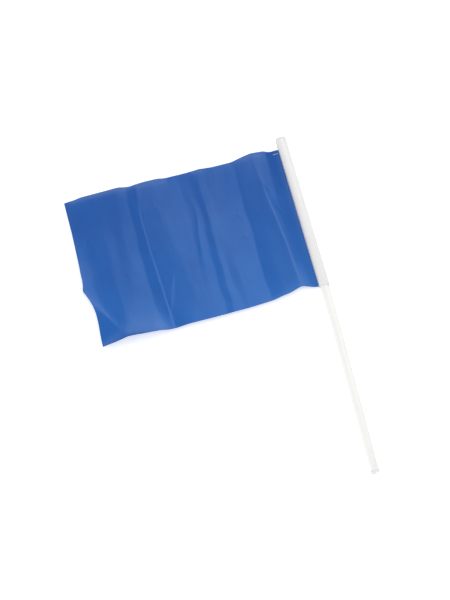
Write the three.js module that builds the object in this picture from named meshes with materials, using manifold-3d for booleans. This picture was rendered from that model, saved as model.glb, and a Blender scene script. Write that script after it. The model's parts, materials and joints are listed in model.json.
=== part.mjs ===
// Hand-waving flag: a rectangular plastic-film flag on a slim white pole, lying on its side.
//
// A hollow stick runs the whole length. A slotted cover tube slips over its upper half, with the
// film's hoist pocket between the two, and the film leaves through the slot. A domed cap closes
// the top, a plug closes the foot, and a staple holds the pocket shut at the top corner.
//
// Millimetres, +Z up. The pole lies along Y with its cap towards +Y, and the flag spreads
// towards -X over the surface at Z = 0. The origin is at the middle of the part's footprint.

import * as THREE from 'three';
import { mergeVertices } from 'three/addons/utils/BufferGeometryUtils.js';
import Module from 'manifold-3d';

const wasm = await Module();
wasm.setup();

// ---- driving dimensions ----

const poleLength = 480;        // top of the dome to the end of the foot plug, along the pole
const flagHoist = 200;         // flag's size along the pole
const flagFly = 300;           // flag's size from the cover's slot to the free edge, laid flat
const filmThickness = 0.3;

const stickRadius = 6;
const stickWall = 0.8;
const stickBow = 6.5;          // how far the foot stands off sideways, towards the flag
const bendRun = 60;            // the stick bends over this length below the cover, then runs straight

const coverWall = 0.5;
const coverAboveFlag = 13;
const coverBelowFlag = 2.5;
const slotWidth = 1.6;

const domeHeight = 3.4;
const domeRim = 0.9;           // straight edge below the dome's curve
const plugFlange = 2;
const spigotLength = 10;
const spigotChamfer = 0.7;

const stapleWire = 0.5;
const stapleCrown = 7;
const stapleFromTop = 5;       // from the flag's top edge

const foldHeight = 3;          // the film's shallow folds, which run along the pole
const foldPitch = 54;
const fallRun = 28;            // from the slot to where the film meets the surface

// ---- clearances ----

const runningGap = 0.2;        // between parts that turn or slide on each other
const seatGap = 0.3;           // between faces that rest on each other

// ---- sizes that follow ----

const stickBore = stickRadius - stickWall;
const pocketInner = stickRadius + runningGap;
const pocketOuter = pocketInner + filmThickness;
const coverInner = pocketOuter + runningGap;
const coverRadius = coverInner + coverWall;

const coverTop = coverAboveFlag;                    // Y, with the flag's top edge at Y = 0
const coverLength = coverAboveFlag + flagHoist + coverBelowFlag;
const coverFoot = coverTop - coverLength;
const stickExposed = poleLength - domeHeight - coverLength - plugFlange - 2 * seatGap;
const stickDrop = coverRadius - stickRadius - 0.1;  // the foot comes down to the surface

const arcSteps = 24;
const half = filmThickness / 2;

function finish(color, roughness) {
  return new THREE.MeshStandardMaterial({ color, roughness, metalness: 0 });
}

function piece(name, geometry, material) {
  const mesh = new THREE.Mesh(geometry, material);
  mesh.name = name;
  return mesh;
}

// An outline in the plane across the pole, drawn out along -Y.
function drawnAlongPole(outline, length) {
  const geometry = new THREE.ExtrudeGeometry(outline, {
    depth: length,
    bevelEnabled: false,
    curveSegments: arcSteps,
  });
  return geometry.rotateX(Math.PI / 2);
}

// ---- solids that are cut ----

function toSolid(geometry) {
  const bare = geometry.clone();
  bare.deleteAttribute('normal');
  bare.deleteAttribute('uv');
  const merged = mergeVertices(bare, 1e-4);
  return new wasm.Manifold(new wasm.Mesh({
    numProp: 3,
    vertProperties: new Float32Array(merged.attributes.position.array),
    triVerts: new Uint32Array(merged.index.array),
  }));
}

function toGeometry(solid) {
  const mesh = solid.getMesh();
  const geometry = new THREE.BufferGeometry();
  geometry.setAttribute('position', new THREE.BufferAttribute(mesh.vertProperties, 3));
  geometry.setIndex(new THREE.BufferAttribute(mesh.triVerts, 1));
  geometry.computeVertexNormals();
  return geometry;
}

// ---- stick: straight inside the cover, then a soft bend and a straight run to the foot ----

// How far the stick has swung aside at a distance below the cover: 0 at the cover, 1 at the foot.
function swing(below) {
  const bent = Math.min(below, bendRun);
  return (bent ** 2 / (2 * bendRun) + below - bent) / (stickExposed - bendRun / 2);
}

class StickLine extends THREE.Curve {
  getPoint(t, target = new THREE.Vector3()) {
    const along = t * (coverLength + stickExposed);
    const aside = swing(Math.max(0, along - coverLength));
    return target.set(-stickBow * aside, coverTop - along, -stickDrop * aside);
  }
}

const stickLine = new StickLine();

function stickTube() {
  const ring = new THREE.Shape().absarc(0, 0, stickRadius, 0, 2 * Math.PI);
  ring.holes.push(new THREE.Path().absarc(0, 0, stickBore, 0, 2 * Math.PI, true));
  const geometry = new THREE.ExtrudeGeometry(ring, {
    steps: 28,
    extrudePath: stickLine,
    curveSegments: 18,
  });
  return piece('stick_tube', geometry, finish(0xf4f4f2, 0.35));
}

// ---- foot plug and cap: turned shapes with a spigot that fits the stick's bore ----

function turned(headOutline) {
  const spigot = stickBore - runningGap;
  const outline = [
    new THREE.Vector2(0, -spigotLength),
    new THREE.Vector2(spigot - spigotChamfer, -spigotLength),
    new THREE.Vector2(spigot, -spigotLength + spigotChamfer),
    new THREE.Vector2(spigot, 0),
    ...headOutline,
  ];
  return new THREE.LatheGeometry(outline, 36);
}

function topCap() {
  const head = [new THREE.Vector2(coverRadius, 0)];
  const curve = new THREE.EllipseCurve(
    0, domeRim, coverRadius, domeHeight - domeRim, 0, Math.PI / 2,
  );
  head.push(...curve.getPoints(8));
  head[head.length - 1].x = 0;
  const cap = piece('top_cap', turned(head), finish(0xf2f2f0, 0.35));
  cap.position.y = coverTop + seatGap;
  return cap;
}

function bottomPlug() {
  const edge = 0.4;            // small bevel round the end face
  const plug = piece('bottom_plug', turned([
    new THREE.Vector2(stickRadius, 0),
    new THREE.Vector2(stickRadius, plugFlange - edge),
    new THREE.Vector2(stickRadius - edge, plugFlange),
    new THREE.Vector2(0, plugFlange),
  ]), finish(0xf2f2f0, 0.4));
  const outward = stickLine.getTangent(1);
  plug.quaternion.setFromUnitVectors(new THREE.Vector3(0, 1, 0), outward);
  plug.position.copy(stickLine.getPoint(1)).addScaledVector(outward, seatGap);
  return plug;
}

// ---- cover tube: a C section, open towards the flag ----

function coverTube() {
  const outerEdge = Math.asin(slotWidth / 2 / coverRadius);
  const innerEdge = Math.asin(slotWidth / 2 / coverInner);
  const section = new THREE.Shape();
  section.absarc(0, 0, coverRadius, Math.PI + outerEdge, 3 * Math.PI - outerEdge, false);
  section.absarc(0, 0, coverInner, 3 * Math.PI - innerEdge, Math.PI + innerEdge, true);
  section.closePath();
  const cover = piece('cover_tube', drawnAlongPole(section, coverLength), finish(0xf0f0ee, 0.3));
  cover.position.y = coverTop;
  return cover;
}

// ---- flag film: hoist pocket, the fall from the slot, and the folds on the surface ----

const slotClear = coverRadius + 1;                  // the film runs level until here
const surface = half - coverRadius;                 // the film's middle, lying on the surface
const fallAngle = Math.atan2(-surface, fallRun);

function filmHeight(reach) {
  if (reach < slotClear) return 0;
  const run = reach - slotClear;
  if (run < fallRun) return surface * run / fallRun;
  const phase = 2 * Math.PI * (run - fallRun) / foldPitch;
  return surface + foldHeight * (1 - Math.cos(phase)) / 2;
}

// Points along the film's middle, from the pocket out, until the flag's flat length is used up.
function filmMiddle() {
  const points = [new THREE.Vector2(-coverRadius, 0), new THREE.Vector2(-slotClear, 0)];
  const landing = slotClear + fallRun;
  const step = foldPitch / 12;
  let left = flagFly - (slotClear - coverRadius);
  let last = points[1];
  for (let i = 0; left > 0; i++) {
    const reach = landing + i * step;
    const next = new THREE.Vector2(-reach, filmHeight(reach));
    const length = next.distanceTo(last);
    if (length > left) next.lerpVectors(last, next, left / length);
    points.push(next);
    left -= length;
    last = next;
  }
  return points;
}

// A staple lies along the film's fall, with its first leg just clear of the cover.
const stapleMiddle = slotClear + stapleCrown / 2 + 0.5;
const legHole = stapleWire + 2 * seatGap;

function onTheFall(object) {
  object.position.set(-stapleMiddle, -stapleFromTop, filmHeight(stapleMiddle));
  object.rotation.y = -fallAngle;
  return object;
}

function flagFilm() {
  const middle = filmMiddle();
  const join = Math.asin(half / pocketOuter);
  const outline = new THREE.Shape();
  outline.setFromPoints(middle.map((p) => new THREE.Vector2(p.x, p.y - half)).reverse());
  outline.absarc(0, 0, pocketOuter, Math.PI + join, 3 * Math.PI - join, false);
  middle.forEach((p) => outline.lineTo(p.x, p.y + half));
  outline.closePath();
  outline.holes.push(new THREE.Path().absarc(0, 0, pocketInner, 0, 2 * Math.PI, true));

  let film = toSolid(drawnAlongPole(outline, flagHoist));
  for (const side of [-1, 1]) {
    const box = new THREE.BoxGeometry(legHole, legHole, 6);
    box.translate(side * (stapleCrown - stapleWire) / 2, 0, 0);
    const hole = onTheFall(new THREE.Object3D());
    hole.updateMatrix();
    film = film.subtract(toSolid(box.applyMatrix4(hole.matrix)));
  }
  return piece('flag_film', toGeometry(film), finish(0x3562a8, 0.45));
}

// ---- staple: crown on top of the film, legs through it, tips turned in underneath ----

function staple() {
  const outer = stapleCrown / 2;
  const inner = outer - stapleWire;
  const crown = half + seatGap;
  const tip = 2.4;                                  // length of each turned-in tip
  const outline = new THREE.Shape([
    [-outer, crown + stapleWire], [-outer, -crown - stapleWire],
    [-inner + tip, -crown - stapleWire], [-inner + tip, -crown], [-inner, -crown],
    [-inner, crown], [inner, crown],
    [inner, -crown], [inner - tip, -crown], [inner - tip, -crown - stapleWire],
    [outer, -crown - stapleWire], [outer, crown + stapleWire],
  ].map(([x, y]) => new THREE.Vector2(x, y)));
  const geometry = drawnAlongPole(outline, stapleWire).translate(0, stapleWire / 2, 0);
  return onTheFall(piece('staple', geometry, new THREE.MeshStandardMaterial({
    color: 0xc4c8cc, roughness: 0.3, metalness: 0.9,
  })));
}

// ---- assembly ----

const lying = new THREE.Group();
lying.add(stickTube(), bottomPlug(), coverTube(), topCap(), flagFilm(), staple());

const part = new THREE.Group();
part.add(lying);
const box = new THREE.Box3().setFromObject(lying, true);
const middle = box.getCenter(new THREE.Vector3());
lying.position.set(-middle.x, -middle.y, -box.min.z);

export default part;
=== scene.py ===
"""Looks of the film hand flag: a blue film flag on a white plastic pole, lying on a pale surface.

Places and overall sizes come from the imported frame, and walls and gaps are named below. Lengths
in the film's tables are in millimetres.
"""

import json
import math

import bpy
import numpy as np
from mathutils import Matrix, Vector, noise


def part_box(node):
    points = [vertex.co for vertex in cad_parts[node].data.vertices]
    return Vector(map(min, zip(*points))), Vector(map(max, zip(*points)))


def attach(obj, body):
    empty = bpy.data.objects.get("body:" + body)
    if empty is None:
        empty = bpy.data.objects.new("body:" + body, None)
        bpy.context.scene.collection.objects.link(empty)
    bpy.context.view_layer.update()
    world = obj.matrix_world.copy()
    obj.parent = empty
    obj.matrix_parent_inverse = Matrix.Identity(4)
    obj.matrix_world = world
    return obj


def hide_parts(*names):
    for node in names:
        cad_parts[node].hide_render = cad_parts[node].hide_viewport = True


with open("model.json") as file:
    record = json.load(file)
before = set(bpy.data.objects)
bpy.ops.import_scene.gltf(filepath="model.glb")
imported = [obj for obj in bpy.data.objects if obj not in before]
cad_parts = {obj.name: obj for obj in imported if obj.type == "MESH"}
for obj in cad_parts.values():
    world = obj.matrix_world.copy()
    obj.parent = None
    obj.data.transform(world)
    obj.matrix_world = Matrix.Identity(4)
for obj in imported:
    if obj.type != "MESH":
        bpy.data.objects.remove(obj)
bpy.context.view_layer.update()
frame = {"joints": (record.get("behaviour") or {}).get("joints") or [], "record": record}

MM = 0.001

# ---- places and sizes from the frame ----

swivel = next(j for j in frame["joints"] if j["name"] == "flag_swivel")
foot_face = next(m for m in frame["record"]["mounts"] if m["name"] == "foot_face")
cover_low, cover_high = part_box("cover_tube")
_, stick_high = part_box("stick_tube")
_, film_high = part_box("flag_film")
_, cap_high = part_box("top_cap")
staple_low, staple_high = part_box("staple")

axis_x, _, axis_z = swivel["pos_m"]
cover_radius = cover_high.x - axis_x
stick_radius = stick_high.x - axis_x
cover_wall = 0.5 * MM
stick_wall = 0.8 * MM
sheet_thickness = 0.1 * MM
slot_half = 0.8 * MM
seat_gap = 0.3 * MM
running_gap = 0.2 * MM
bend_run = 60 * MM
lip_x = axis_x - cover_radius
plug_flange = 2 * MM
spigot_length = 10 * MM
spigot_chamfer = 0.7 * MM
foot_point = Vector(foot_face["pos_m"])
foot_way = Vector(foot_face["axis"]).normalized()
stick_foot = foot_point - foot_way * (plug_flange + seat_gap)

# ---- modelling helpers ----


def start_fresh():
    if bpy.context.object and bpy.context.object.mode != "OBJECT":
        bpy.ops.object.mode_set(mode="OBJECT")
    bpy.ops.object.select_all(action="DESELECT")


def edit(piece):
    bpy.context.view_layer.objects.active = piece
    bpy.ops.object.mode_set(mode="EDIT")
    bpy.ops.mesh.select_all(action="SELECT")


def pull(step):
    """Draws the selected edges or faces on by a step."""
    bpy.ops.mesh.extrude_region_move(TRANSFORM_OT_translate={"value": tuple(step)})


def swell(share, centre):
    """Scales the selected ring across the pole, about its own middle."""
    bpy.ops.transform.resize(value=(share, 1, share), center_override=tuple(centre))


def turn(angle, axis, centre):
    """Turns the selection by the right-hand rule about the axis "X", "Y" or "Z" through a point.

    With no window open, Blender turns the other way, so the angle's sign is changed.
    """
    bpy.ops.transform.rotate(value=-angle, orient_axis=axis, center_override=tuple(centre))


def ring_round_pole(name, radius, centre, sides=64):
    """An open ring of edges across the pole, ready to be drawn out."""
    start_fresh()
    bpy.ops.mesh.primitive_circle_add(
        vertices=sides, radius=radius, location=centre, rotation=(math.radians(90), 0, 0)
    )
    piece = bpy.context.object
    piece.name = piece.data.name = name
    bpy.ops.object.transform_apply(location=True, rotation=True, scale=True)
    edit(piece)
    return piece


def finish_with(piece, modifier, **settings):
    """Adds one modifier with its settings and applies it."""
    bpy.ops.object.mode_set(mode="OBJECT")
    made = piece.modifiers.new(modifier.title(), modifier)
    for key, value in settings.items():
        setattr(made, key, value)
    bpy.ops.object.modifier_apply(modifier=made.name)


def face_outwards(piece):
    """Merges doubled points, then points all faces outwards."""
    edit(piece)
    bpy.ops.mesh.remove_doubles(threshold=0.01 * MM)
    bpy.ops.mesh.normals_make_consistent(inside=False)
    bpy.ops.object.mode_set(mode="OBJECT")


def close_and_smooth(piece, angle=35):
    face_outwards(piece)
    bpy.ops.object.shade_smooth_by_angle(angle=math.radians(angle))


# ---- materials ----


def new_material(name, color, roughness, **sockets):
    """A Principled material; its uniform values are set on the shader itself."""
    made = bpy.data.materials.new(name)
    made.use_nodes = True
    shader = made.node_tree.nodes["Principled BSDF"]
    shader.inputs["Base Color"].default_value = (*color, 1)
    shader.inputs["Roughness"].default_value = roughness
    for key, value in sockets.items():
        shader.inputs[key.replace("_", " ")].default_value = value
    return made, made.node_tree, shader


def pattern(tree, scale, detail=3, roughness=0.5, stretch=(1, 1, 1), uv=False):
    """A noise on Object coordinates, or on the UV map, stretched along the axes."""
    place = tree.nodes.new("ShaderNodeTexCoord")
    mapping = tree.nodes.new("ShaderNodeMapping")
    mapping.inputs["Scale"].default_value = stretch
    made = tree.nodes.new("ShaderNodeTexNoise")
    made.inputs["Scale"].default_value = scale
    made.inputs["Detail"].default_value = detail
    made.inputs["Roughness"].default_value = roughness
    tree.links.new(place.outputs["UV" if uv else "Object"], mapping.inputs["Vector"])
    tree.links.new(mapping.outputs["Vector"], made.inputs["Vector"])
    return made.outputs["Fac"]


def ranged(tree, value, low, high, start=0.3, stop=0.7):
    """A noise value spread over a range."""
    made = tree.nodes.new("ShaderNodeMapRange")
    for key, number in (("From Min", start), ("From Max", stop), ("To Min", low), ("To Max", high)):
        made.inputs[key].default_value = number
    tree.links.new(value, made.inputs["Value"])
    return made.outputs["Result"]


def two_tones(tree, value, first, second):
    """A colour that runs from one tone to another with a value from 0 to 1."""
    made = tree.nodes.new("ShaderNodeMix")
    made.data_type = "RGBA"
    made.inputs["A"].default_value = (*first, 1)
    made.inputs["B"].default_value = (*second, 1)
    tree.links.new(value, made.inputs["Factor"])
    return made.outputs["Result"]


def bumped(tree, height, strength, distance):
    """A bump from a noise value."""
    made = tree.nodes.new("ShaderNodeBump")
    made.inputs["Strength"].default_value = strength
    made.inputs["Distance"].default_value = distance
    tree.links.new(height, made.inputs["Height"])
    return made.outputs["Normal"]


def white_plastic(name, tone, roughness, drawn=True):
    """White plastic: a drawn tube has faint lines along it, a moulded piece a fine grain."""
    made, tree, shader = new_material(
        name, tone, roughness, IOR=1.49, Coat_Weight=0.15, Coat_Roughness=0.25
    )
    along = (1, 0.02, 1) if drawn else (1, 1, 1)
    cloud = pattern(tree, 28, stretch=(1, 0.35, 1))
    warm = tuple(c * k for c, k in zip(tone, (1.0, 0.992, 0.975)))
    clouded = two_tones(tree, ranged(tree, cloud, 0, 1), tone, warm)
    tree.links.new(clouded, shader.inputs["Base Color"])
    fine = pattern(tree, 2600 if drawn else 3800, detail=2, stretch=along)
    uneven = ranged(tree, fine, roughness - 0.05, roughness + 0.07)
    tree.links.new(uneven, shader.inputs["Roughness"])
    tree.links.new(bumped(tree, fine, 0.25, 0.02 * MM), shader.inputs["Normal"])
    return made


def blue_film():
    """Thin coloured film: satin face, some light through it, faint drawing lines and crinkles.

    Its patterns follow the sheet's own UV map; its colour pales slowly from top to foot, a painted
    light for the brighter lower part.
    """
    deep, pale = (0.003, 0.083, 0.385), (0.004, 0.122, 0.485)
    made, tree, shader = new_material("blue_film", deep, 0.3, IOR=1.6)
    shader.inputs["Specular Tint"].default_value = (0.69, 0.9, 1.0, 1)
    lines = pattern(tree, 60, detail=2, stretch=(1, 0.07, 1), uv=True)
    cloud = pattern(tree, 9, detail=3, stretch=(1, 0.5, 1), uv=True)
    place = tree.nodes.new("ShaderNodeTexCoord")
    split = tree.nodes.new("ShaderNodeSeparateXYZ")
    tree.links.new(place.outputs["UV"], split.inputs["Vector"])
    # Painted light: the share adds a paling down the hoist, lightest at the foot, to the random
    # cloud.
    share = tree.nodes.new("ShaderNodeMath")
    share.operation = "ADD"
    tree.links.new(ranged(tree, cloud, -0.15, 0.25), share.inputs[0])
    tree.links.new(ranged(tree, split.outputs["Y"], 0, 0.85, 0.2, 1.0), share.inputs[1])
    tone = two_tones(tree, share.outputs["Value"], deep, pale)
    tree.links.new(tone, shader.inputs["Base Color"])
    tree.links.new(ranged(tree, lines, 0.3, 0.34, 0.2, 0.8), shader.inputs["Roughness"])
    crinkle = pattern(tree, 38, detail=3, stretch=(1, 0.4, 1), uv=True)
    normal = bumped(tree, crinkle, 0.3, 0.3 * MM)
    tree.links.new(normal, shader.inputs["Normal"])
    through = tree.nodes.new("ShaderNodeBsdfTranslucent")
    through.inputs["Color"].default_value = (0.01, 0.28, 0.75, 1)
    tree.links.new(normal, through.inputs["Normal"])
    mix = tree.nodes.new("ShaderNodeMixShader")
    mix.inputs["Fac"].default_value = 0.16
    tree.links.new(shader.outputs["BSDF"], mix.inputs[1])
    tree.links.new(through.outputs["BSDF"], mix.inputs[2])
    tree.links.new(mix.outputs["Shader"], tree.nodes["Material Output"].inputs["Surface"])
    return made


def staple_wire():
    """Bright drawn wire."""
    made, tree, shader = new_material("staple_wire", (0.95, 0.95, 0.95), 0.4, Metallic=0.45)
    drawn = pattern(tree, 5000, stretch=(0.05, 1, 1))
    tree.links.new(ranged(tree, drawn, 0.34, 0.5), shader.inputs["Roughness"])
    tree.links.new(bumped(tree, drawn, 0.2, 0.01 * MM), shader.inputs["Normal"])
    return made


# ---- pole ----


def stick():
    """The inner stick: straight in the cover, softly bent just below it, then straight again."""
    top = Vector((axis_x, cover_high.y, axis_z))
    piece = ring_round_pole("stick", stick_radius, top)
    last = Vector((axis_x, cover_low.y, axis_z))
    pull(last - top)
    leave, sway, lean = last, stick_foot - last, 0.0
    straight_run = -sway.y - bend_run / 2
    in_the_bend = [bend_run * i / 12 for i in range(1, 13)]
    for below in in_the_bend + [-0.6 * sway.y, -sway.y]:
        bent = min(below, bend_run)
        aside = (bent**2 / (2 * bend_run) + below - bent) / straight_run
        here = leave + Vector((sway.x * aside, -below, sway.z * aside))
        pull(here - last)
        # The ring is turned to stay square to the stick's line.
        slope = bent / bend_run / straight_run
        turn(math.atan(sway.x * slope) - math.atan(sway.x * lean), "Z", here)
        turn(math.atan(sway.z * lean) - math.atan(sway.z * slope), "X", here)
        last, lean = here, slope
    face_outwards(piece)
    finish_with(piece, "SOLIDIFY", thickness=stick_wall, offset=-1, use_rim=True)
    finish_with(piece, "BEVEL", width=0.15 * MM, segments=2, limit_method="ANGLE", angle_limit=1.0)
    close_and_smooth(piece)
    return piece


def cover():
    """The slotted cover: its wall's section spun round the pole from one lip to the other."""
    start_fresh()
    lip = math.asin(slot_half / cover_radius)
    middle = cover_radius - cover_wall / 2
    bpy.ops.mesh.primitive_plane_add(size=1, location=(axis_x - middle, 0, axis_z))
    piece = bpy.context.object
    piece.name = piece.data.name = "cover_sleeve"
    bpy.ops.object.transform_apply(location=True)
    edit(piece)
    length = cover_high.y - cover_low.y
    centre = (axis_x - middle, 0, axis_z)
    bpy.ops.transform.resize(value=(cover_wall, length, 1), center_override=centre)
    bpy.ops.transform.translate(value=(0, (cover_high.y + cover_low.y) / 2, 0))
    pole = (axis_x, 0, axis_z)
    turn(lip, "Y", pole)
    bpy.ops.mesh.spin(steps=96, angle=2 * (math.pi - lip), center=pole, axis=(0, 1, 0))
    finish_with(piece, "BEVEL", width=0.12 * MM, segments=2, limit_method="ANGLE", angle_limit=1.0)
    close_and_smooth(piece)
    return piece


def end_piece(name, seat, radius, head):
    """A moulded end: a chamfered spigot that fits the stick's bore, then the head.

    Each of the head's rings is its distance past the seat and its radius.
    """
    spigot = stick_radius - stick_wall - running_gap
    rings = [(spigot_chamfer, spigot), (spigot_length, spigot), (spigot_length, radius)]
    rings += [(spigot_length + along, wide) for along, wide in head]
    way = Vector((0, 1, 0))
    inner_end = seat - way * spigot_length
    far, wide = 0.0, spigot - spigot_chamfer
    piece = ring_round_pole(name, wide, inner_end, sides=72)
    for along, ring in rings:
        pull(way * (along - far))
        swell(ring / wide, inner_end + way * along)
        far, wide = along, ring
    # The last ring is closed, then the spigot's inner end, which is the only open edge left.
    bpy.ops.mesh.edge_face_add()
    bpy.ops.mesh.select_all(action="DESELECT")
    bpy.ops.mesh.select_non_manifold()
    bpy.ops.mesh.edge_face_add()
    return piece


def cap():
    """The domed cap, with a small gate dimple at its crown."""
    seat = Vector((axis_x, cover_high.y + seat_gap, axis_z))
    rim = 0.9 * MM
    dome = cap_high.y - seat.y - rim
    gate = 0.9 * MM
    head = [(rim, cover_radius)]
    steps = 14
    for i in range(1, steps):
        angle = math.pi / 2 * i / steps
        head.append((rim + dome * math.sin(angle), cover_radius * math.cos(angle)))
    crown = rim + dome * 0.995
    head += [(crown, gate), (crown - 0.15 * MM, gate * 0.8)]
    piece = end_piece("tip_cap", seat, cover_radius, head)
    finish_with(piece, "BEVEL", width=0.15 * MM, segments=2, limit_method="ANGLE", angle_limit=1.0)
    close_and_smooth(piece, 30)
    return piece


def plug():
    """The foot plug: a thin flange with a shallow recess and gate mark in its end face."""
    seat = Vector((axis_x, 0, axis_z))
    edge = 0.4 * MM
    recess_floor = plug_flange - 0.5 * MM
    gate_top = plug_flange - 0.3 * MM
    head = [
        (plug_flange - edge, stick_radius),
        (plug_flange, stick_radius - edge),
        (plug_flange, stick_radius * 0.62),
        (recess_floor, stick_radius * 0.56),
        (recess_floor, stick_radius * 0.16),
        (gate_top, stick_radius * 0.13),
    ]
    piece = end_piece("foot_plug", seat, stick_radius, head)
    finish_with(piece, "BEVEL", width=0.12 * MM, segments=2, limit_method="ANGLE", angle_limit=1.0)
    swing = Vector((0, 1, 0)).rotation_difference(foot_way).to_matrix().to_4x4()
    place = swing.copy()
    place.translation = stick_foot + foot_way * seat_gap - swing @ seat
    piece.data.transform(place)
    close_and_smooth(piece, 30)
    return piece


# ---- film ----

HOIST = 200
# Fold lines, from the slot out to the free edge. Each holds its distance from the slot and the
# film's height above the surface, at five places down the hoist, and how widely it is rounded.
STATIONS = (0, 50, 100, 150, HOIST)
FOLDS = [
    ("slot_bend", (1, 1, 1, 1, 1), (7.2, 7.2, 7.2, 7.2, 7.2), 0.6),
    ("hoist_ledge", (5, 4, 4, 4, 5), (6.9, 7.2, 7.2, 7.1, 6.9), 0.8),
    ("hoist_break", (9, 8, 8, 8, 10), (6.2, 6.7, 6.8, 6.7, 6.4), 1.0),
    ("hoist_valley", (19, 20, 22, 19, 16), (3.7, 4.7, 4.9, 5.6, 6.2), 2.0),
    ("first_foot", (27, 32, 27.5, 22.6, 19.5), (4.4, 4.5, 4.8, 5.4, 6.3), 0.5),
    ("first_crest", (39, 34.0, 29.2, 24.4, 22), (5.3, 4.8, 5.3, 6.0, 7.3), 0.5),
    ("first_shelf", (50, 50, 50, 50, 50), (5.3, 3.6, 3.7, 4.7, 6.0), 4.0),
    ("second_valley", (64, 65.5, 64, 66, 66), (4.4, 2.1, 2.2, 3.2, 5.0), 1.2),
    ("third_rise", (98, 106, 100, 97, 97), (4.7, 3.5, 4.3, 5.35, 6.8), 1.5),
    ("third_dip", (101, 108.5, 110, 109, 104), (4.7, 3.7, 5.0, 5.1, 7.2), 0.8),
    ("third_crest", (113, 116, 116.5, 117, 117.5), (5.2, 4.2, 5.6, 6.0, 8.4), 0.8),
    ("third_valley", (128, 124, 125, 127, 127), (4.5, 3.5, 4.8, 5.1, 7.7), 1.2),
    ("fourth_crest", (132, 131, 136, 141, 142), (4.4, 3.6, 5.4, 6.2, 8.7), 0.8),
    ("fourth_valley", (142, 140, 142, 147, 152), (4.1, 3.3, 5.2, 6.4, 9.2), 1.2),
    ("middle_rise", (156, 170, 170, 162, 173), (4.0, 4.4, 6.6, 7.4, 10.0), 4.0),
    ("middle_edge", (178, 178, 182, 183, 183), (5.4, 4.7, 6.4, 6.8, 9.6), 2.5),
    ("fifth_foot", (197, 203.5, 202.2, 200, 198.5), (6.7, 4.4, 5.6, 6.2, 8.6), 0.5),
    ("fifth_crest", (200, 205.2, 203.9, 201.8, 200.2), (6.6, 4.7, 5.87, 6.6, 9.05), 0.5),
    ("fifth_valley", (213, 216, 216.5, 217, 211), (5.4, 3.7, 4.5, 5.2, 8.6), 1.2),
    ("sixth_rise", (227, 231, 233, 240, 243), (6.0, 4.3, 5.2, 6.6, 11.0), 3.0),
    ("seventh_valley", (245, 243, 247, 250, 255), (5.2, 4.0, 4.8, 7.0, 12.2), 2.0),
    ("seventh_crest", (258, 256, 258, 258, 263), (4.6, 3.8, 5.2, 7.4, 12.4), 1.5),
    ("outer_flat", (284, 284, 285, 284, 279), (2.8, 2.8, 4.2, 6.0, 9.0), 4.0),
    ("free_edge", (297, 298, 300, 296, 297), (2.4, 2.6, 5.3, 6.6, 5.5), 1.0),
]
# The cut edges: a place along the edge, then how far the edge wanders there, down the hoist or,
# at the free end, outwards.
TOP_WANDER = [(0, -0.2), (12, -0.6), (16, -2.4), (20, -6.2), (36, -8), (44, -6.8), (54, -4),
              (65, -1), (95, -0.8), (110, -3.4), (122, -2.2), (135, -2), (155, -2.4),
              (168, -5.6), (190, -5.5), (206, -3), (222, -6.8), (250, -7), (275, -6.8),
              (286, -4.6), (297, -3.4)]
FOOT_WANDER = [(0, 1.2), (5, 0.8), (10, -1.2), (21, -5), (30, -2.4), (40, 0.6), (50, 1.6),
               (62, 3.7), (100, 5.5), (150, 6.5), (180, 6.4), (205, 7.6), (216, 6.5), (240, 6.4),
               (262, 5.9), (278, 7.1), (297, 8.2)]
END_WANDER = [(0, 1.2), (40, 0.8), (90, 1), (110, 2), (118, 3.8), (125.5, 6.5), (132, 4.2),
              (140, 1.8), (150, -0.3), (160, -1.3), (175, -1.2), (190, 0), (200, 0.5)]
# The same for how far each edge lifts, and how quickly the lift dies away from the edge. The foot
# has a second, tighter lift at the cut itself.
TOP_LIFT = [(0, 0), (12, 0), (18, -0.8), (24, -4.6), (42, -5.2), (60, -1), (98, -0.3), (106, -2.6),
            (116, -2), (122, -0.5), (152, -0.3), (162, -4.2), (194, -4.4), (202, -1.4), (215, -4),
            (250, -4.8), (280, -3.6), (290, -0.6)]
FOOT_LIFT = [(0, 0), (14, 1), (22, 2.6), (45, 2.6), (62, 1), (100, 0.6), (130, 0.6), (180, 0.6),
             (196, 0), (208, 1.5), (222, 4.5), (250, 5.2), (264, 4.4), (275, 3.4), (297, 2.6)]
FOOT_CURL = [(0, 0), (20, 0), (60, 1.8), (90, 0.4), (205, 0), (262, 7), (274, 5.4), (297, 4)]
END_LIFT = [(0, 0), (80, 0), (95, 0.8), (125, 1.8), (140, 1.4), (150, 0.7), (165, 0), (200, 0)]
TOP_DIES, FOOT_DIES, CURL_DIES, END_DIES = 3.5, 18, 6, 7
# Short creases: start and end of the line, each as distances from the slot and down the hoist,
# then its height, and how far its sides reach towards the slot and away from it.
SHORT_CREASES = [
    ("corner_flap", (299, 140), (272, 186), 1.0, 4, 40),
    ("branch", (184, 138), (197, 178), 0.5, 1.6, 7),
    ("hoist_side_line", (32, 38), (21, 82), 0.35, 2.5, 1.5),
    ("middle_line", (131, 60), (140, 122), 0.3, 5, 1.2),
]
# Small bumps and dents: distances from the slot and down the hoist, and the height.
PINCHES = [(76, 74.5, 0.6), (75, 106, 0.6), (178, 30, -0.2), (287, 60, 0.2), (240, 118, 0.2)]
PINCH_SHAPE, PINCH_SPREAD = 3, 1.6
# A fold rounded over no more than SHARP keeps SHARP_WAVER of its waver everywhere.
SHARP, SHARP_WAVER = 0.5, 0.3
# Crinkles begin this far from the slot and reach their full height this much further on.
CALM_TO, CALM_RUN = 12, 20
# The free edge's wander draws the film out from here on, over this length.
DRAWN_FROM, DRAWN_RUN = 240, 60
# Least height off the surface, and how gently the film comes down to it.
FLOOR_CLEAR, FLOOR_EASE = 0.15, 0.15
# The strip welded under the hoist, from and to these distances from the slot, and its drop.
WELD_START, WELD_END, WELD_GAP = 0.3, 10, 0.2
# The pocket's film stands off the stick, and its loop stays open by this angle on each side.
POCKET_GAP, POCKET_BREAK = 0.3, 0.02
ROWS, WELD_COLUMNS, POCKET_COLUMNS = 150, 10, 37
COLUMN_WIDTH, GATHER = 1.5, 0.6


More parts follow.
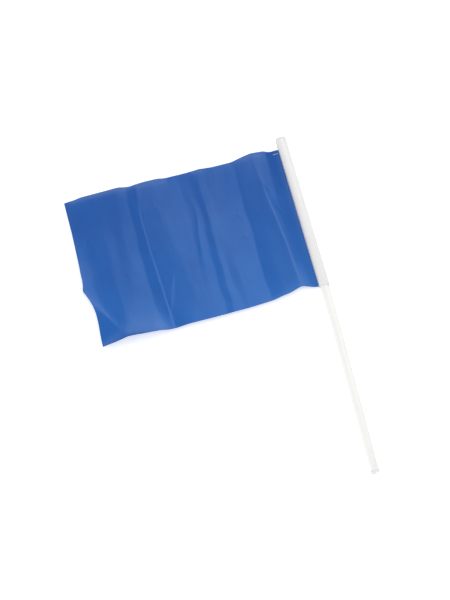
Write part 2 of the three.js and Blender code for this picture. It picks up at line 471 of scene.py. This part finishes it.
def along_hoist(values, at):
    """A fold's value at a place down the hoist, eased between its five stations."""
    fine = np.arange(-40, 241, 2.0)
    rough = np.interp(fine, STATIONS, values)
    kernel = np.hanning(17)
    eased = np.convolve(np.pad(rough, 8, mode="edge"), kernel / kernel.sum(), mode="valid")
    return np.interp(at, fine, eased)


def eased_line(points, at, reach=5):
    """A wander or lift at a place along an edge, with its corners eased."""
    where, values = zip(*points)
    fine = np.arange(-20, 341, 1.0)
    rough = np.interp(fine, where, values)
    kernel = np.hanning(2 * reach + 3)[1:-1]
    eased = np.convolve(np.pad(rough, reach, mode="edge"), kernel / kernel.sum(), mode="valid")
    return np.interp(at, fine, eased)


def fold_table(down, waver=1.0):
    """Distances and heights of all folds at one place down the hoist.

    Their lines waver a little: the sharp ones always, the others by a share. The first three,
    beside the slot, and the free edge stay as they are.
    """
    places = np.array([along_hoist(f[1], down) for f in FOLDS])
    heights = np.array([along_hoist(f[2], down) for f in FOLDS])
    for i in range(3, len(places) - 1):
        slow = noise.noise(Vector((places[i] / 45, down / 20, 7.7)))
        quick = noise.noise(Vector((places[i] / 30, down / 7, 2.2)))
        share = SHARP_WAVER if FOLDS[i][3] <= SHARP else waver
        places[i] += (2.6 * slow + 0.4 * quick) * share
    return places, heights


def rounded_profile(out, places, heights):
    """Straight runs from fold to fold, each corner rounded as widely as its fold says."""
    slopes = np.diff(heights) / np.diff(places)
    z = heights[0] + slopes[0] * (out - places[0])
    for place, change, fold in zip(places[1:-1], np.diff(slopes), FOLDS[1:-1]):
        away = out - place
        z = z + change * (away + np.sqrt(away**2 + fold[3] ** 2)) / 2
    return z


def column_shares():
    """Columns between each pair of folds, closer together beside the folds."""
    places, _ = fold_table(HOIST / 2)
    shares = []
    for i, width in enumerate(np.diff(places)):
        cells = max(3, round(width / COLUMN_WIDTH))
        t = np.arange(cells) / cells
        shares += [(i, s) for s in t - GATHER * np.sin(2 * np.pi * t) / (2 * np.pi)]
    return shares + [(len(places) - 2, 1.0)]


def crinkled(out, down):
    """Small unevenness of the film: a broad one and a small one, both longer down the hoist."""
    broad = noise.noise(Vector((out / 30, down / 75, 0.3)))
    small = noise.noise(Vector((out / 7, down / 22, 4.1)))
    return 0.35 * broad + 0.07 * small


def short_crease(out, down, start, end, height, near, far):
    """Height that a short crease adds: a crest on its line that dies away to each side."""
    run_on, fade = 2, 4
    length = math.dist(start, end)
    way = ((end[0] - start[0]) / length, (end[1] - start[1]) / length)
    away = (out - start[0]) * way[1] - (down - start[1]) * way[0]
    along = (out - start[0]) * way[0] + (down - start[1]) * way[1]
    begun = 1 / (1 + np.exp(-(along + run_on) / fade))
    inside = begun / (1 + np.exp((along - length - run_on) / fade))
    crest = np.where(away < 0, np.exp(away / near), np.exp(-away / far))
    return height * crest * inside


def sheet_point(places, heights, out, t):
    """Distances in millimetres out from the slot, down from the flag's top, and off the surface.

    t is the share of the way down the hoist. The film never sinks below FLOOR_CLEAR.
    """
    top = eased_line(TOP_WANDER, out)
    foot = HOIST + eased_line(FOOT_WANDER, out)
    down = top + t * (foot - top)
    z = rounded_profile(out, places, heights)
    z = z + eased_line(TOP_LIFT, out) * np.exp(-(down - top) / TOP_DIES)
    z = z + eased_line(FOOT_LIFT, out) * np.exp(-(foot - down) / FOOT_DIES)
    z = z + eased_line(FOOT_CURL, out) * np.exp(-(foot - down) / CURL_DIES)
    z = z + eased_line(END_LIFT, down) * np.exp(-(places[-1] - out) / END_DIES)
    for _, start, end, height, near, far in SHORT_CREASES:
        z = z + short_crease(out, down, start, end, height, near, far)
    for middle, low, height in PINCHES:
        away = (out - middle) ** 2 + (down - low) ** 2 / PINCH_SHAPE
        z = z + height * np.exp(-away / PINCH_SPREAD)
    free = np.clip((out - CALM_TO) / CALM_RUN, 0, 1)
    z = z + free * np.array([crinkled(a, b) for a, b in zip(out, down)])
    clear = z - FLOOR_CLEAR
    z = FLOOR_CLEAR + (clear + np.sqrt(clear**2 + FLOOR_EASE**2)) / 2
    near_end = np.clip((out - DRAWN_FROM) / DRAWN_RUN, 0, 1) ** 2
    return out + near_end * eased_line(END_WANDER, down, reach=2), down, z


def flag():
    """One sheet: the strip under the weld, the pocket round the stick, then the flag itself."""
    shares = column_shares()
    columns = WELD_COLUMNS + POCKET_COLUMNS + len(shares)
    start_fresh()
    bpy.ops.mesh.primitive_grid_add(x_subdivisions=columns - 1, y_subdivisions=ROWS, size=1)
    piece = bpy.context.object
    piece.name = piece.data.name = "flag_sheet"
    assert len(piece.data.vertices) == columns * (ROWS + 1)
    points = np.zeros((ROWS + 1, columns, 3))
    pocket = (stick_radius + POCKET_GAP * MM) / MM
    turn_by = np.linspace(math.pi + POCKET_BREAK, 3 * math.pi - POCKET_BREAK, POCKET_COLUMNS)
    for row in range(ROWS + 1):
        t = row / ROWS
        places, heights = fold_table(HOIST * t)
        calm, _ = fold_table(HOIST * t, waver=0)
        out = np.array([calm[i] + (calm[i + 1] - calm[i]) * s for i, s in shares])
        x, y, z = sheet_point(places, heights, out, t)
        points[row, -len(shares) :] = np.stack([-x, -y, z], 1)
        loop = points[row, WELD_COLUMNS : WELD_COLUMNS + POCKET_COLUMNS]
        loop[:, 0] = cover_radius / MM + pocket * np.cos(turn_by)
        loop[:, 1] = -y[0]
        loop[:, 2] = axis_z / MM + pocket * np.sin(turn_by)
        weld = np.linspace(WELD_END, WELD_START, WELD_COLUMNS)
        x, y, z = sheet_point(places, heights, weld, t)
        points[row, :WELD_COLUMNS] = np.stack([-x, -y, z - WELD_GAP], 1)
    points[:, :, 0] = points[:, :, 0] * MM + lip_x
    points[:, :, 1] = points[:, :, 1] * MM + film_high.y
    points[:, :, 2] = points[:, :, 2] * MM
    piece.data.vertices.foreach_set("co", points.astype(np.float32).ravel())
    piece.data.update()
    finish_with(piece, "SOLIDIFY", thickness=sheet_thickness, offset=0)
    edit(piece)
    bpy.ops.mesh.normals_make_consistent(inside=False)
    bpy.ops.object.mode_set(mode="OBJECT")
    bpy.ops.object.shade_smooth_by_angle(angle=math.radians(70))
    return piece


# ---- staple ----


def staple():
    """A bent wire: crown, two legs, and tips turned in underneath, lying on the film's slope."""
    start_fresh()
    wire, crown, tip = 0.5 * MM, 7 * MM, 2.4 * MM
    slope_reach = 3
    off_film, film_room = 0.06 * MM, 0.12
    depth = 2 * wire + (WELD_GAP + film_room) * MM
    middle = (staple_low + staple_high) / 2
    down = (film_high.y - middle.y) / MM
    reach = (lip_x - middle.x) / MM
    places, heights = fold_table(down)
    ends = np.array([reach - slope_reach, reach + slope_reach])
    _, _, (near, far) = sheet_point(places, heights, ends, down / HOIST)
    film_there = Vector((middle.x, middle.y, (near + far) / 2 * MM))
    top = film_there + Vector((0, 0, wire / 2 + off_film))
    bpy.ops.mesh.primitive_cube_add(size=wire, location=top)
    piece = bpy.context.object
    piece.name = piece.data.name = "corner_staple"
    bpy.ops.object.transform_apply(location=True)
    edit(piece)
    bpy.ops.transform.resize(value=((crown - 2 * wire) / wire, 1, 1), center_override=tuple(top))
    bpy.ops.object.mode_set(mode="OBJECT")
    for side in (-1, 1):
        steps = [
            (Vector((side, 0, 0)), Vector((side * wire, 0, 0))),
            (Vector((0, 0, -1)), Vector((0, 0, wire - depth))),
            (Vector((-side, 0, 0)), Vector((-side * tip, 0, 0))),
        ]
        seen = top + Vector((side * (crown / 2 - wire), 0, 0))
        for facing, step in steps:
            # The face to pull is the one beside this point that faces the way of the step.
            for p in piece.data.polygons:
                close = (piece.data.vertices[p.vertices[0]].co - seen).length < 0.9 * wire
                p.select = p.normal.dot(facing) > 0.9 and close
            bpy.ops.object.mode_set(mode="EDIT")
            bpy.ops.mesh.select_mode(type="FACE")
            pull(step)
            bpy.ops.object.mode_set(mode="OBJECT")
            seen = seen + step + Vector((-side * wire / 2, 0, 0))
            if facing.x == side:
                seen.z -= wire / 2
    finish_with(piece, "BEVEL", width=0.12 * MM, segments=3, limit_method="ANGLE", angle_limit=0.6)
    edit(piece)
    turn(math.atan((far - near) / (2 * slope_reach)), "Y", film_there)
    bpy.ops.object.mode_set(mode="OBJECT")
    close_and_smooth(piece, 40)
    return piece


# ---- floor, light and camera ----

LAMP_DISTANCE = 2.6


def floor():
    """A pale, slightly glowing floor that reaches well past the view."""
    start_fresh()
    bpy.ops.mesh.primitive_plane_add(size=30, location=(0, 0, 0))
    piece = bpy.context.object
    piece.name = "floor"
    made, tree, shader = new_material("lit_table", (0.82, 0.82, 0.82), 0.85)
    tone = two_tones(tree, pattern(tree, 3), (0.82, 0.82, 0.82), (0.84, 0.84, 0.84))
    tree.links.new(tone, shader.inputs["Base Color"])
    shader.inputs["Emission Color"].default_value = (1, 1, 1, 1)
    shader.inputs["Emission Strength"].default_value = 0.42
    piece.data.materials.append(made)


def lamp(name, way, size, power, for_gloss):
    """A square soft lamp that faces the origin, seen in the gloss or else lighting all over."""
    data = bpy.data.lights.new(name, "AREA")
    data.shape, data.size, data.energy = "SQUARE", size, power
    made = bpy.data.objects.new(name, data)
    bpy.context.scene.collection.objects.link(made)
    back = Vector(way).normalized()
    made.location = back * LAMP_DISTANCE
    made.rotation_mode = "QUATERNION"
    made.rotation_quaternion = (-back).to_track_quat("-Z", "Y")
    made.visible_glossy = for_gloss
    made.visible_diffuse = not for_gloss


def studio_light():
    """Soft light from all round, two lamps seen in the film's gloss and two that only light."""
    world = bpy.data.worlds.new("studio")
    bpy.context.scene.world = world
    world.use_nodes = True
    background = world.node_tree.nodes["Background"]
    background.inputs["Color"].default_value = (1, 1, 1, 1)
    background.inputs["Strength"].default_value = 0.38
    lamp("sheen", (0.9, 0.4, 0.8), size=3.8, power=75, for_gloss=True)
    lamp("edge_sheen", (0.1, 0.95, 0.45), size=2.5, power=30, for_gloss=True)
    lamp("right_fill", (0.8, 0.45, 1.3), size=3.8, power=45, for_gloss=False)
    lamp("left_fill", (-1.0, -0.5, 0.9), size=4.6, power=66, for_gloss=False)
    bpy.context.scene.view_settings.view_transform = "Standard"


def camera():
    """Looks down on the flag, nearly from above, over its foot."""
    azimuth, elevation = math.radians(-15.24), math.radians(72.64)
    distance = 2.976
    shift_right, shift_up = 0.0057, 0.0403
    data = bpy.data.cameras.new("camera")
    data.lens = 135
    made = bpy.data.objects.new("camera", data)
    bpy.context.scene.collection.objects.link(made)
    back = Vector((
        math.sin(azimuth) * math.cos(elevation),
        -math.cos(azimuth) * math.cos(elevation),
        math.sin(elevation),
    ))
    right = Vector((math.cos(azimuth), math.sin(azimuth), 0))
    up = back.cross(right)
    made.location = right * shift_right + up * shift_up + back * distance
    made.rotation_mode = "QUATERNION"
    made.rotation_quaternion = (-back).to_track_quat("-Z", "Y")
    bpy.context.scene.camera = made


# ---- the object ----

camera()
floor()
studio_light()

stick_white = white_plastic("stick_white", (0.88, 0.88, 0.87), 0.34)
plug_white = white_plastic("plug_white", (0.83, 0.83, 0.82), 0.42, drawn=False)
# The cover's tone is darker than the stick's: painted shade for the light its wall, with the blue
# film inside, holds back.
cover_white = white_plastic("cover_white", (0.79, 0.79, 0.795), 0.3)
cap_white = white_plastic("cap_white", (0.82, 0.82, 0.81), 0.38, drawn=False)

sheet_piece = flag()
for piece, body, node, slot, material in (
    (stick(), "stick", "stick_tube", "stick_plastic", stick_white),
    (plug(), "plug", "bottom_plug", "plug_plastic", plug_white),
    (cover(), "flag_sleeve", "cover_tube", "cover_plastic", cover_white),
    (cap(), "cap", "top_cap", "cap_plastic", cap_white),
    (sheet_piece, "flag_sleeve", "flag_film", "flag_film", blue_film()),
    (staple(), "flag_sleeve", "staple", "staple_steel", staple_wire()),
):
    piece.data.materials.clear()
    piece.data.materials.append(material)
    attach(piece, body)
    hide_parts(node)
